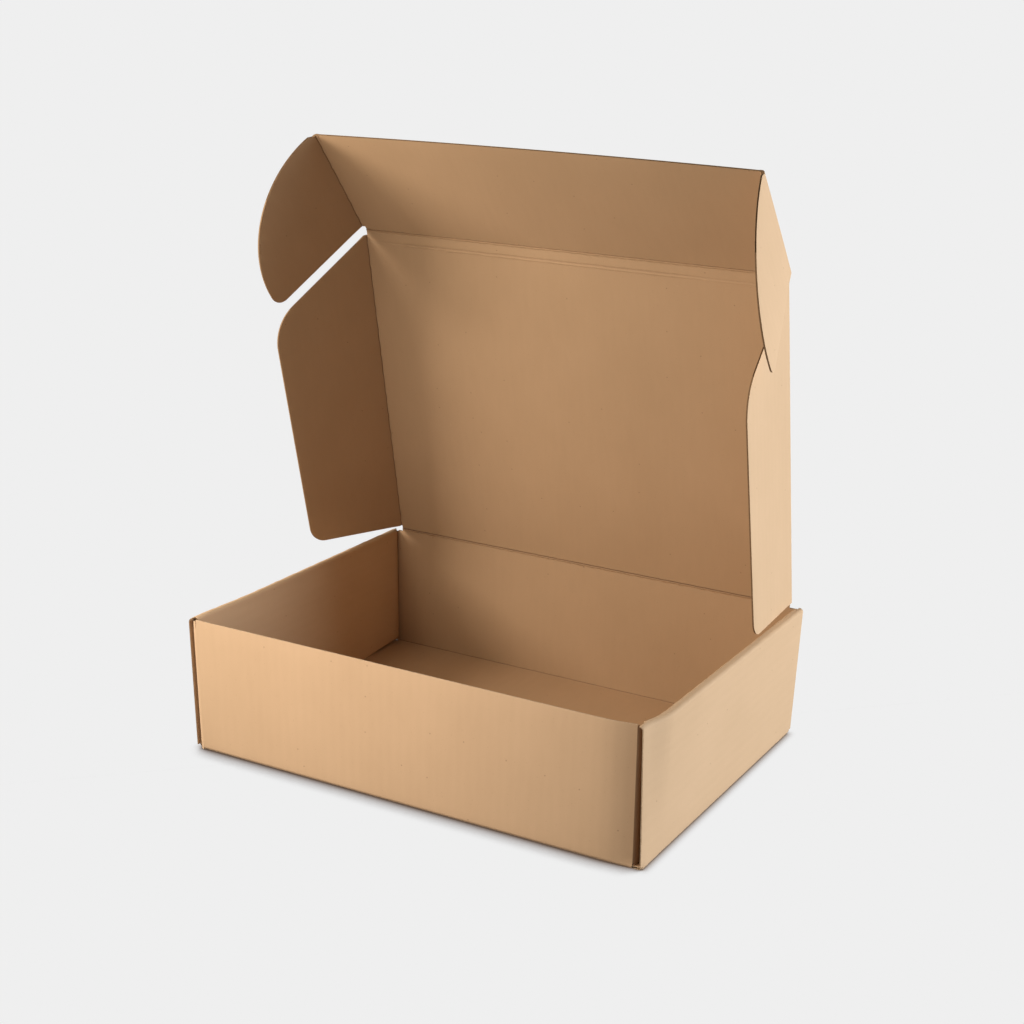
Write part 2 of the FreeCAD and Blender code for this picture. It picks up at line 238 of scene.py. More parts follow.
def rounded(points, radii, steps):
    """An outline with its corners rounded."""
    made = []
    count = len(points)
    for k, point in enumerate(points):
        radius = radii.get(k, 0)
        here = Vector(point)
        if not radius:
            made.append(tuple(here))
            continue
        before = (Vector(points[k - 1]) - here).normalized()
        after = (Vector(points[(k + 1) % count]) - here).normalized()
        half = before.angle(after) / 2
        back = radius / math.tan(half)
        middle = here + (before + after).normalized() * (radius / math.sin(half))
        start = here + before * back - middle
        stop = here + after * back - middle
        turn = start.angle_signed(stop)
        for step in range(steps + 1):
            spin = Matrix.Rotation(-turn * step / steps, 2)
            made.append(tuple(middle + spin @ start))
    return made


def flat_mesh(outline, a_lines, b_lines, holes=()):
    """The outline as a flat mesh cut along the given lines, in millimetres. Each
    hole is a rectangle between lines, given by two corners."""
    bm = bmesh.new()
    whole = bm.faces.new([bm.verts.new((a, b, 0)) for a, b in outline])
    bmesh.ops.inset_region(bm, faces=[whole], thickness=RING, depth=0,
                           use_even_offset=True)
    for normal, places in ((X, a_lines), (Vector((0, 1, 0)), b_lines)):
        for place in places:
            geometry = bm.verts[:] + bm.edges[:] + bm.faces[:]
            bmesh.ops.bisect_plane(bm, geom=geometry, dist=1e-4,
                                   plane_co=normal * place, plane_no=normal)
    gone = []
    for face in bm.faces:
        x, y, _ = face.calc_center_median()
        if any(a0 < x < a1 and b0 < y < b1 for a0, b0, a1, b1 in holes):
            gone.append(face)
    bmesh.ops.delete(bm, geom=gone, context="FACES")
    bmesh.ops.recalc_face_normals(bm, faces=bm.faces[:])
    if sum(face.normal.z * face.calc_area() for face in bm.faces) < 0:
        bmesh.ops.reverse_faces(bm, faces=bm.faces[:])
    big = [face for face in bm.faces if len(face.verts) > 4]
    bmesh.ops.triangulate(bm, faces=big)
    bm.verts.index_update()
    points = np.array([vert.co[:2] for vert in bm.verts])
    faces = [[vert.index for vert in face.verts] for face in bm.faces]
    rims = []
    for edge in bm.edges:
        if len(edge.link_faces) == 1:
            loop = edge.link_loops[0]
            rims.append((loop.vert.index, loop.link_loop_next.vert.index))
    bm.free()
    return points, faces, rims


# ---- folding

def leaf(origin, across, along, outward, bow=None):
    """A fold function for a flat panel. Height over the middle of the board is
    positive towards the outside."""
    origin = np.array(origin)
    across, along, outward = (np.array(v) for v in (across, along, outward))

    def fold(a, b, height):
        if bow is not None:
            height = height + bow(a, b)
        return (origin + a[:, None] * across + b[:, None] * along
                + height[:, None] * outward)
    return fold


def bend(distance, flat, radius):
    """Run out and rise of the middle of the board along a quarter fold that
    starts at the given distance, with the turn made so far."""
    past = np.clip(distance - flat, 0, None)
    turn = np.clip(past / radius, 0, QUARTER)
    out = np.minimum(distance, flat) + radius * np.sin(turn)
    rise = radius * (1 - np.cos(turn)) + np.clip(past - radius * QUARTER, 0, None)
    return out, rise, turn


def curled(a):
    """How far the front wall's right end curls back."""
    share = (np.clip(a, CURL_FROM, CURL_TO) - CURL_FROM) / (CURL_TO - CURL_FROM)
    return CURL * share ** 2


def splay(points):
    """Lean the side walls out from a slightly narrower base."""
    x, y, z = points.T
    high = z / WALL_HIGH
    right = np.clip(0.5 + x / (2 * OUT_FACE), 0, 1)
    front = 1 - ease((y + HALF_DEEP) / SPREAD_RUN)
    left_shift = SPLAY_LEFT * (1 - high) - FRONT_SPREAD * front * high
    shift = (1 - right) * left_shift - right * SPLAY_RIGHT * (1 - high)
    return np.stack([x + shift, y, z], axis=1)


def fold_front_back(a, b, height):
    """Base, front wall and back wall. Height is positive towards the outside."""
    side = np.sign(b)
    out, rise, turn = bend(np.abs(b), BASE_DEEP, BEND_MID)
    out = out - np.where(side < 0, curled(a), 0) * turn / QUARTER
    y = side * (out + height * np.sin(turn))
    z = HALF + rise - height * np.cos(turn)
    leaning = (side < 0) * ease((a - LEAN_FROM) / LEAN_RUN)
    lean = WALL_LEAN * leaning * rise / WALL_HIGH
    return splay(np.stack([a - lean, y, z], axis=1))


def press_base_folds(a, b):
    """The crushed line on the inside of the folds at the base's front and back, darkened
    for its crushed paper and with painted shade in the inside corner.
    """
    line = BASE_DEEP + 0.55 * QUARTER * BEND_MID + 0.15 * wobble(a, 1, 9.0)
    crush_and_shade = np.exp(-((np.abs(b) - line) / 0.42) ** 2)
    return 0.3 * crush_and_shade, crush_and_shade * (0.85 + 0.15 * wobble(a, 4, 23.0))


def press_lid(a, b):
    """The lid's second crease, just below the tuck flap's fold, strongest on its left. Its
    groove is darkened for the crushed paper and with painted shade.
    """
    line = FOLD_LENGTH - SECOND_CREASE + 0.2 * wobble(a, 2, 31.0)
    strength = 0.35 + 0.65 * ease((a + 128) / 20) * ease((96 - a) / 26)
    away = (b - line) / 0.6
    groove = np.exp(-away ** 2) * strength
    bead = np.exp(-(away + 1.7) ** 2) * strength
    return 0.3 * groove - 0.35 * bead, 0.25 * groove


# where a side wall's folds start and end on the flat sheet
SIDE_UP = BASE_HALF + QUARTER * BEND_MID
SIDE_OVER = SIDE_UP + WALL_HIGH - 2 * BEND_OUT
SIDE_FLAT = SIDE_OVER + QUARTER * BEND_MID
SIDE_DOWN = SIDE_FLAT + BASE_HALF - ROLL_IN
SIDE_INNER = SIDE_DOWN + QUARTER * BEND_MID


def side_path(distance):
    """Outer panel, roll and inner panel, as run out, rise and turn."""
    out, rise, turn = bend(distance, BASE_HALF, BEND_MID)
    rise = np.minimum(rise, BEND_MID + WALL_HIGH - 2 * BEND_OUT)
    first = np.clip((distance - SIDE_OVER) / BEND_MID, 0, QUARTER)
    out = out - BEND_MID * (1 - np.cos(first))
    rise = rise + BEND_MID * np.sin(first)
    out = out - np.clip(distance - SIDE_FLAT, 0, SIDE_DOWN - SIDE_FLAT)
    second = np.clip((distance - SIDE_DOWN) / BEND_MID, 0, QUARTER)
    out = out - BEND_MID * np.sin(second)
    rise = rise - BEND_MID * (1 - np.cos(second))
    rise = rise - np.clip(distance - SIDE_INNER, 0, None)
    return out, rise, turn + first + second


def stretch(distance, first, last, soft):
    """1 between two places, easing in over 2 mm and out over the given run."""
    return ease((distance - first + 1) / 2) * ease((last - distance) / soft)


def fold_side(a, b, height):
    """A rolled side wall. The right one is drawn in towards its front end."""
    side = np.sign(a)
    distance = np.abs(a)
    out, rise, turn = side_path(distance)
    bent = np.clip((distance - SIDE_DOWN) / (SIDE_INNER - SIDE_DOWN), 0, 1)
    height = height + ROLL_BULGE * np.sin(math.pi * bent)
    x = side * (out + height * np.sin(turn))
    z = HALF + rise - height * np.cos(turn)
    behind = b + PLY_HALF
    pushed = ease((distance - SIDE_FLAT) / (SIDE_INNER - SIDE_FLAT))
    drawn = DRAWN_TOP * z / WALL_HIGH - DRAWN_FOOT
    drawn = drawn * (1 - ease(behind / DRAWN_RUN))
    rolled = ROLL_PUSHED * (1 - ease(behind / ROLL_PUSHED_RUN))
    x = x - (side > 0) * (drawn * (1 - pushed) + rolled * pushed)
    top = stretch(distance, SIDE_OVER, SIDE_INNER + 9, 9)
    z = z - top * ROLL_SAG * (1 + wobble(b, 3 + side, 17.0))
    inner = stretch(distance, SIDE_DOWN, SIDE_INNER + 14, 12)
    x = x + side * inner * PANEL_WAVE * (1 + wobble(b, 6 + side, 8.0))
    sloped = np.clip((SIDE_DOWN - distance) / (SIDE_DOWN - SIDE_OVER), 0, 1)
    z = z - (side < 0) * LEFT_SLOPE * sloped * z / WALL_HIGH
    return splay(np.stack([x, b, z], axis=1))


def corner_shape(side, end):
    """Outside radius and slack of a corner fold, and where on the wall it starts."""
    sharp = side > 0 and end < 0
    radius = SHARP_CORNER if sharp else CORNER_OUT
    slack = CORNER_SLACK if sharp else 0.0
    return radius, slack, TAB_BACK - slack - radius


def corner_fold(side, end):
    """An upright corner fold and its tab, from a wall's end round to its tip.
    Here a runs along the wall and b is the height of the point."""
    radius, slack, start = corner_shape(side, end)

    def fold(a, b, height):
        out, deep, turn = bend(np.abs(a), start, radius - HALF)
        settled = ease((deep - 8) / 14)
        if slack:
            out = out + slack * settled - WALL_LEAN * b / WALL_HIGH * (1 - settled)
        back = HALF_DEEP - HALF - deep + height * np.cos(turn)
        if slack:
            back = back - curled(np.abs(a))
        x = side * (out + height * np.sin(turn))
        return splay(np.stack([x, end * back, b], axis=1))
    return fold


# ---- board

def placed(name, data):
    """A new object in the scene."""
    made = bpy.data.objects.new(name, data)
    bpy.context.scene.collection.objects.link(made)
    return made


def store(mesh, name, values):
    """Keep a number or a vector at each point."""
    values = np.asarray(values, dtype=np.float32)
    vectors = values.ndim == 2
    made = mesh.attributes.new(name, "FLOAT_VECTOR" if vectors else "FLOAT", "POINT")
    made.data.foreach_set("vector" if vectors else "value", values.ravel())


def add_uv(mesh, coordinates):
    layer = mesh.uv_layers.new(name="sheet")
    indices = np.zeros(len(mesh.loops), dtype=np.int32)
    mesh.loops.foreach_get("vertex_index", indices)
    layer.data.foreach_set("uv", coordinates[indices].astype(np.float32).ravel())


def new_piece(name, points, faces, slots, materials, sheet, crush_and_shade):
    """A mesh object from points in metres."""
    mesh = bpy.data.meshes.new(name)
    mesh.from_pydata([tuple(p) for p in points], [], faces)
    for material in materials:
        mesh.materials.append(material)
    mesh.polygons.foreach_set("material_index", slots)
    add_uv(mesh, sheet)
    store(mesh, "crush_and_shade", crush_and_shade)
    mesh.validate()
    mesh.update()
    return placed(name, mesh)


def board_mesh(name, flat, fold, sheet_at, press, rim, cut):
    """Two liners with cut rims, folded into place. Along the flutes the rim is
    filled between the liners, as the wall of the last flute fills it."""
    points, faces, rims = flat
    a, b = points[:, 0], points[:, 1]
    sheet = np.stack([a + sheet_at[0], b + sheet_at[1]], axis=1) * MM
    sink, dark = press(a, b) if press else (0 * a, 0 * a)
    count = len(points)
    squash = np.zeros(count)
    squash[[v for pair in rims for v in pair]] = SQUASH
    squash = np.minimum(squash * cut(a, b), MOST_SQUASH)
    stacked = [
        fold(a, b, HALF - squash),
        fold(a, b, HALF - LINER - squash),
        fold(a, b, sink + squash - HALF + LINER),
        fold(a, b, sink + squash - HALF),
    ]
    crush_and_shade = np.concatenate([np.zeros(3 * count), dark])
    made, slots = [], []
    beside = {}
    for number, face in enumerate(faces):
        for v, w in zip(face, face[1:] + face[:1]):
            beside[(v, w)] = number
    filled = {beside[(v, w)] for v, w in rims
              if abs(b[v] - b[w]) > 0.7 * abs(a[v] - a[w])}
    for number, face in enumerate(faces):
        made.append(list(reversed(face)))
        made.append([3 * count + v for v in face])
        slots += [0, 3]
        if number not in filled:
            made.append([count + v for v in face])
            made.append([2 * count + v for v in reversed(face)])
            slots += [2, 2]
            continue
        for v, w in zip(face, face[1:] + face[:1]):
            if beside.get((w, v)) not in filled:
                made.append([count + w, 2 * count + w, 2 * count + v, count + v])
                slots.append(2)
    for v, w in rims:
        made.append([w, count + w, count + v, v])
        made.append([2 * count + w, 3 * count + w, 3 * count + v, 2 * count + v])
        slots += [1, 1]
    return new_piece(name, np.concatenate(stacked) * MM, made, slots,
                     [outer_liner, rim, medium, inner_liner],
                     np.tile(sheet, (4, 1)), crush_and_shade)


def spans_at(outline, a):
    """The stretches of b inside the outline at one a."""
    crossings = []
    for k in range(len(outline)):
        a0, b0 = outline[k - 1]
        a1, b1 = outline[k]
        if (a0 > a) != (a1 > a):
            crossings.append(b0 + (b1 - b0) * (a - a0) / (a1 - a0))
    crossings.sort()
    return list(zip(crossings[::2], crossings[1::2]))


def flute_ribbons(name, outline, fold, ends):
    """The middle surface near the cut ends of the flutes, as narrow ribbons."""
    low = min(point[0] for point in outline) + FLUTE_INSET
    high = max(point[0] for point in outline) - FLUTE_INSET
    count = int((high - low) / (FLUTE_PITCH / FLUTE_STEPS))
    points, faces = [], []
    previous = {}
    for k in range(count + 1):
        a = low + (high - low) * k / count
        current = {}
        for place, (b0, b1) in enumerate(spans_at(outline, a)):
            reach = min(FLUTE_DEEP, (b1 - b0) / 2)
            for end, edge, inwards in ((0, b0, 1), (1, b1, -1)):
                if ends[end]:
                    current[(place, end)] = (len(points), b0, b1)
                    points += [(a, edge + inwards * FLUTE_BACK),
                               (a, edge + inwards * reach)]
        for key, (row, b0, b1) in current.items():
            if key in previous:
                old, c0, c1 = previous[key]
                if abs(b0 - c0) < SAME_EDGE and abs(b1 - c1) < SAME_EDGE:
                    faces.append([old, old + 1, row + 1, row])
        previous = current
    if not faces:
        return None
    flat = np.array(points)
    a, b = flat[:, 0], flat[:, 1]
    middle = fold(a, b, np.zeros(len(a)))
    lift = (fold(a, b, np.full(len(a), 0.01)) - middle) / 0.01
    mesh = bpy.data.meshes.new(name)
    mesh.from_pydata([tuple(p) for p in middle * MM], [], faces)
    store(mesh, "across", a * MM)
    store(mesh, "lift", lift)
    add_uv(mesh, flat * MM)
    mesh.update()
    return placed(name, mesh)


def add_node(tree, kind, inputs=None, **settings):
    """A node with its settings made and its inputs set to values or sockets."""
    node = tree.nodes.new(kind)
    for name, value in settings.items():
        setattr(node, name, value)
    for place, value in (inputs or {}).items():
        if isinstance(value, bpy.types.NodeSocket):
            tree.links.new(value, node.inputs[place])
        else:
            node.inputs[place].default_value = value
    return node


def value_of(tree, kind, inputs=None, **settings):
    """The first output of a new node."""
    return add_node(tree, kind, inputs, **settings).outputs[0]


def combine(tree, operation, first, second=0.0):
    inputs = {0: first, 1: second}
    return value_of(tree, "ShaderNodeMath", inputs, operation=operation)


def stored_on(tree, name, kind):
    return add_node(tree, "GeometryNodeInputNamedAttribute", {"Name": name},
                    data_type=kind).outputs["Attribute"]


def fluting_tree():
    """Geometry nodes that wave a ribbon between the liners and give it body."""
    tree = bpy.data.node_groups.new("fluting", "GeometryNodeTree")
    face = tree.interface
    face.new_socket("Geometry", in_out="INPUT", socket_type="NodeSocketGeometry")
    sockets = {}
    for name in ("Pitch", "Height", "Thickness", "Unevenness", "Medium"):
        kind = "NodeSocketMaterial" if name == "Medium" else "NodeSocketFloat"
        sockets[name] = face.new_socket(name, in_out="INPUT", socket_type=kind).identifier
    face.new_socket("Geometry", in_out="OUTPUT", socket_type="NodeSocketGeometry")
    start = tree.nodes.new("NodeGroupInput").outputs
    across = stored_on(tree, "across", "FLOAT")
    lift = stored_on(tree, "lift", "FLOAT_VECTOR")
    wander = value_of(tree, "ShaderNodeTexNoise", {"W": across, "Scale": 60.0},
                      noise_dimensions="1D")
    centred = combine(tree, "SUBTRACT", wander, 0.5)
    drift = combine(tree, "MULTIPLY", centred, start["Unevenness"])
    turns = combine(tree, "DIVIDE", across, start["Pitch"])
    turns = combine(tree, "ADD", turns, drift)
    wave = combine(tree, "SINE", combine(tree, "MULTIPLY", turns, 2 * math.pi))
    height = combine(tree, "MULTIPLY", wave, start["Height"])
    offset = value_of(tree, "ShaderNodeVectorMath", {0: lift, "Scale": height},
                      operation="SCALE")
    moved = value_of(tree, "GeometryNodeSetPosition",
                     {"Geometry": start["Geometry"], "Offset": offset})
    under = value_of(tree, "GeometryNodeFlipFaces", {0: moved})
    body = value_of(tree, "GeometryNodeExtrudeMesh",
                    {"Individual": False, "Mesh": moved,
                     "Offset Scale": start["Thickness"]})
    both = add_node(tree, "GeometryNodeJoinGeometry", {0: body})
    tree.links.new(under, both.inputs[0])
    seams = value_of(tree, "GeometryNodeMergeByDistance",
                     {0: both.outputs[0], "Distance": 0.002 * MM})
    real = value_of(tree, "GeometryNodeRealizeInstances", {0: seams})
    finished = value_of(tree, "GeometryNodeSetMaterial",
                        {"Geometry": real, "Material": start["Medium"]})
    add_node(tree, "NodeGroupOutput", {0: finished})
    return tree, sockets


def wave_ribbons(ribbons):
    """Run the fluting tree on the ribbons and keep the plain mesh."""
    tree, sockets = fluting
    modifier = ribbons.modifiers.new("fluting", "NODES")
    modifier.node_group = tree
    for name, value in (("Pitch", FLUTE_PITCH * MM), ("Height", FLUTE_HIGH * MM),
                        ("Thickness", FLUTE_THICK * MM), ("Unevenness", 0.25),
                        ("Medium", medium)):
        modifier[sockets[name]] = value
    bpy.context.view_layer.update()
    waved = ribbons.evaluated_get(bpy.context.evaluated_depsgraph_get())
    mesh = bpy.data.meshes.new_from_object(waved)
    ribbons.modifiers.clear()
    ribbons.data = mesh
    for name in ("across", "lift"):
        if name in mesh.attributes:
            mesh.attributes.remove(mesh.attributes[name])
    return ribbons


def joined(name, pieces):
    """Several meshes as one piece."""
    keep = pieces[0]
    if len(pieces) == 1:
        return keep
    with bpy.context.temp_override(active_object=keep, object=keep,
                                   selected_editable_objects=pieces,
                                   selected_objects=pieces):
        bpy.ops.object.join()
    keep.name = name
    keep.data.name = name
    return keep


def smooth(piece, degrees=35):
    """Smooth shading that keeps the board's cut edges sharp."""
    mesh = piece.data
    mesh.polygons.foreach_set("use_smooth", [True] * len(mesh.polygons))
    bm = bmesh.new()
    bm.from_mesh(mesh)
    for edge in bm.edges:
        if len(edge.link_faces) == 2:
            edge.smooth = edge.calc_face_angle(0) < math.radians(degrees)
    bm.to_mesh(mesh)
    bm.free()
    return piece


def board(name, outline, fold, sheet_at=(0, 0), *, cut, holes=(), a_extra=(),
          b_extra=(), flutes=(True, True), press=None, rim=None):
    """One panel of board with its liners and its flutes. The cut function is 1
    where an edge is cut and 0 where it runs on into the next panel."""
    a_values = [point[0] for point in outline]
    b_values = [point[1] for point in outline]
    a_lines = lines_between(min(a_values), max(a_values))[1:-1] + list(a_extra)
    b_lines = lines_between(min(b_values), max(b_values))[1:-1] + list(b_extra)
    flat = flat_mesh(outline, sorted(a_lines), sorted(b_lines), holes)
    parts = [board_mesh(name, flat, fold, sheet_at, press, rim or cut_edge, cut)]
    ribbons = flute_ribbons(name + "_flutes", outline, fold, flutes)
    if ribbons:
        parts.append(wave_ribbons(ribbons))
    return parts


# ---- materials

def blank_material(name):
    material = bpy.data.materials.new(name)
    material.use_nodes = True
    tree = material.node_tree
    shader = tree.nodes["Principled BSDF"]
    return material, tree, shader


def sheet_place(tree):
    """Coordinates on the flat sheet, in metres."""
    return value_of(tree, "ShaderNodeUVMap", uv_map="sheet")


def sheet_point(tree, stretch):
    """Coordinates on the flat sheet, stretched across and along the flutes."""
    inputs = {"Vector": sheet_place(tree), "Scale": (*stretch, 1)}
    return value_of(tree, "ShaderNodeMapping", inputs)


def grain(tree, stretch, detail=3.0, roughness=0.55):
    """Noise between 0 and 1."""
    inputs = {"Vector": sheet_point(tree, stretch), "Scale": 1.0, "Detail": detail,
              "Roughness": roughness}
    return add_node(tree, "ShaderNodeTexNoise", inputs).outputs["Fac"]


def spread(tree, value, low, high, out_low, out_high):
    inputs = {"Value": value, "From Min": low, "From Max": high, "To Min": out_low,
              "To Max": out_high}
    return add_node(tree, "ShaderNodeMapRange", inputs).outputs["Result"]


def weighed(tree, *shares):
    """The sum of some values, each times its weight."""
    total = 0.0
    for value, weight in shares:
        total = combine(tree, "ADD", total, combine(tree, "MULTIPLY", value, weight))
    return total


def over(tree, factor, under, colour):
    """A colour laid over another colour, or over what is made so far."""
    if isinstance(under, tuple):
        under = (*under, 1)
    inputs = {"Factor": factor, "A": under, "B": (*colour, 1)}
    return add_node(tree, "ShaderNodeMix", inputs, data_type="RGBA").outputs["Result"]


def flute_lines(tree):
    """Faint lines where the liner is glued to the flutes."""
    inputs = {"Vector": sheet_place(tree), "Distortion": 0.3, "Detail": 1.0,
              "Scale": 1.0 / (FLUTE_PITCH * MM) / 3.1416 * 0.5}
    return add_node(tree, "ShaderNodeTexWave", inputs, wave_type="BANDS",
                    bands_direction="X", wave_profile="SIN").outputs["Fac"]


def specks(tree, cell, size, share):
    """Sparse round specks: 1 inside a speck. Sizes are in metres."""
    inputs = {"Vector": sheet_point(tree, (1 / cell, 1 / cell)), "Scale": 1.0}
    cells = add_node(tree, "ShaderNodeTexVoronoi", inputs, voronoi_dimensions="2D").outputs
    near = spread(tree, cells["Distance"], size / cell * 0.5, size / cell, 1, 0)
    parts = add_node(tree, "ShaderNodeSeparateColor", {0: cells["Color"]}).outputs
    chosen = combine(tree, "GREATER_THAN", parts[0], 1 - share)
    return combine(tree, "MULTIPLY", near, chosen)


def crush_and_shade_share(tree):
    """How far the paper is darkened here, stored on the piece: partly for crushed folds and
    partly as painted shade in creases and in the sharp corner's notch.
    """
    stored = add_node(tree, "ShaderNodeAttribute", attribute_name="crush_and_shade").outputs["Fac"]
    return combine(tree, "MULTIPLY", stored, 0.75)


def kraft_liner(name, dark, light):
    """Unbleached kraft: smooth, a little cloudy, with few fibres and dark specks."""
    material, tree, shader = blank_material(name)
    cloud = grain(tree, (16, 11), 4.0)
    streak = grain(tree, (260, 45), 3.0)
    fine = grain(tree, (1300, 1700), 2.0, 0.7)
    tone = weighed(tree, (cloud, 0.55), (streak, 0.15), (fine, 0.3))
    colour = over(tree, spread(tree, tone, 0.3, 0.7, 0, 1), dark, light)
    lines = spread(tree, flute_lines(tree), 0, 1, 0, 0.03)
    colour = over(tree, lines, colour, KRAFT_LINE)
    pale_fibre = spread(tree, grain(tree, (700, 190), 2.0), 0.72, 0.8, 0, 0.12)
    colour = over(tree, pale_fibre, colour, FIBRE_PALE)
    for cell, size, share, weight in SPECKS:
        speck = combine(tree, "MULTIPLY", specks(tree, cell, size, share), weight)
        colour = over(tree, speck, colour, FIBRE_DARK)
    # darkening along folds: crushed paper and painted shade in the creases and the corner
    # notch
    colour = over(tree, crush_and_shade_share(tree), colour, CRUSHED_SHADED_PAPER)
    tree.links.new(colour, shader.inputs["Base Color"])
    rough = spread(tree, fine, 0.2, 0.8, 0.72, 0.86)
    tree.links.new(rough, shader.inputs["Roughness"])
    shader.inputs["Specular IOR Level"].default_value = 0.35
    relief = weighed(tree, (fine, 0.25), (flute_lines(tree), 0.12))
    bump = add_node(tree, "ShaderNodeBump",
                    {"Strength": 0.2, "Distance": 0.12 * MM, "Height": relief})
    tree.links.new(bump.outputs[0], shader.inputs["Normal"])
    return material


def matt_paper(name, dark, light, stretch):
    """Plain rough paper with a fine tone, for cut edges and for the flutes."""
    material, tree, shader = blank_material(name)
    fine = grain(tree, stretch, 2.0, 0.7)
    colour = over(tree, spread(tree, fine, 0.3, 0.7, 0, 1), dark, light)
    tree.links.new(colour, shader.inputs["Base Color"])
    shader.inputs["Roughness"].default_value = 0.95
    shader.inputs["Specular IOR Level"].default_value = 0.2
    return material


def cut_paper():
    """The cut edge of a liner, dulled by the die and painted darker still as shade of the
    hollow flutes behind it.
    """
    return matt_paper("cut_edge", EDGE_DARK, EDGE_LIGHT, (1600, 1600))


def highlit_paper():
    """A cut edge painted pale: a painted highlight where the edge catches the light."""
    return matt_paper("highlit_edge", PALE_DARK, PALE_LIGHT, (1100, 1100))


def fluting_paper():
    """Recycled medium between the liners, painted darker than it is as shade in the hollow
    flutes.
    """
    return matt_paper("fluting_paper", MEDIUM_DARK, MEDIUM_LIGHT, (700, 900))


OUTER_DARK = (0.535, 0.356, 0.208)
OUTER_LIGHT = (0.600, 0.404, 0.242)
# the inner liner is darker and warmer than the outer: painted shade for the inside of the
# box
INNER_DARK = (0.400, 0.248, 0.132)
INNER_LIGHT = (0.455, 0.286, 0.158)
KRAFT_LINE = (0.370, 0.240, 0.135)
# the dark of crushed folds, most of it painted shade in creases and in the corner notch
CRUSHED_SHADED_PAPER = (0.130, 0.062, 0.028)
FIBRE_DARK = (0.160, 0.085, 0.040)
FIBRE_PALE = (0.660, 0.500, 0.330)
SPECKS = ((0.024, 0.0005, 0.35, 0.55), (0.007, 0.00022, 0.5, 0.4))
# cut edges: dulled paper, painted darker as shade of the hollow flutes
EDGE_DARK = (0.260, 0.150, 0.075)
EDGE_LIGHT = (0.360, 0.225, 0.120)
# the pale edge is a painted highlight for cut edges that catch the light
PALE_DARK = (0.560, 0.390, 0.235)
PALE_LIGHT = (0.760, 0.580, 0.400)
# the medium is painted dark as shade in the hollow flutes
MEDIUM_DARK = (0.190, 0.112, 0.055)
MEDIUM_LIGHT = (0.290, 0.180, 0.095)

outer_liner = kraft_liner("kraft_outer", OUTER_DARK, OUTER_LIGHT)
inner_liner = kraft_liner("kraft_inner", INNER_DARK, INNER_LIGHT)
cut_edge = cut_paper()
highlit_edge = highlit_paper()
medium = fluting_paper()
fluting = fluting_tree()


# ---- outlines and pieces

def quarter_lines(start, radius, steps=7):
    length = QUARTER * radius
    return [start + length * k / steps for k in range(steps + 1)]


def mirrored_outline(outline):
    return [(-a, b) for a, b in reversed(outline)]


def slot_spans():
    """Where the slots begin and end, front to back."""
    near, far = LOCK_NEAR - SLOT_CLEAR, LOCK_FAR + SLOT_CLEAR
    return [(-far, -near), (near, far)]


def slot_holes(side):
    near, far = sorted((side * (IN_FACE - SLOT_CLEAR), side * (IN_BACK + SLOT_CLEAR)))
    return [(near, low, far, high) for low, high in slot_spans()]


def make_base_and_walls():
    """Base with its slots, front wall and back wall."""
    wall = FRONT_HIGH - BEND_OUT
    back = HINGE.z - FOLD_GAP - BEND_OUT
    front_edge = -(FRONT_START + wall)
    back_edge = FRONT_START + back
    loose_end = corner_shape(1, -1)[2]
    outline = [
        (-WALL_HALF, front_edge), (loose_end, front_edge),
        (loose_end, -BASE_DEEP), (BASE_HALF, -BASE_DEEP + 0.1),
        (BASE_HALF, BASE_DEEP - 0.1), (WALL_HALF, BASE_DEEP),
        (WALL_HALF, back_edge), (-WALL_HALF, back_edge),
        (-WALL_HALF, BASE_DEEP), (-BASE_HALF, BASE_DEEP - 0.1),
        (-BASE_HALF, -BASE_DEEP + 0.1), (-WALL_HALF, -BASE_DEEP),
    ]
    bends = quarter_lines(BASE_DEEP, BEND_MID)
    b_extra = bends + [-b for b in bends]
    for span in slot_spans():
        b_extra += span
    a_extra = []
    for side in (-1, 1):
        a_extra += [side * (IN_FACE - SLOT_CLEAR), side * (IN_BACK + SLOT_CLEAR)]
    holes = slot_holes(-1) + slot_holes(1)
    return board("base_board", outline, fold_front_back, holes=holes,
                 a_extra=a_extra, b_extra=b_extra, flutes=(False, False),
                 # the base board's cut rims, the front wall's top edge most, get the
                 # painted highlight
                 press=press_base_folds, rim=highlit_edge,
                 cut=lambda a, b: 1.6 * (b < front_edge + 0.1))


def side_outline(front):
    """One rolled side wall on the flat sheet, from the base out. The inner panel
    stops the given distance from the box's middle at the front."""
    edge = SIDE_INNER + WALL_HIGH - BEND_OUT - BOARD
    foot, low = edge - 0.3, edge + BOARD - 0.3
    rise, run = 3, 40
    lock = [(foot, -LOCK_FAR), (edge, -LOCK_FAR), (low, LOCK_TAPER - LOCK_FAR),
            (low, -LOCK_NEAR - LOCK_TAPER), (edge, -LOCK_NEAR), (foot, -LOCK_NEAR)]
    back_half = [(a, -b) for a, b in reversed(lock)] + [
        (foot, INNER_HALF - run), (foot - rise, INNER_HALF), (SIDE_DOWN, INNER_HALF),
        (SIDE_DOWN, PLY_HALF), (SIDE_UP, PLY_HALF), (SIDE_UP, INNER_HALF),
        (BASE_HALF, INNER_HALF),
    ]
    return [
        (BASE_HALF, -INNER_HALF), (SIDE_UP, -INNER_HALF), (SIDE_UP, -PLY_HALF),
        (SIDE_DOWN, -PLY_HALF), (SIDE_DOWN, -front), (foot - rise, -front),
        (foot, -front + run),
    ] + lock + back_half


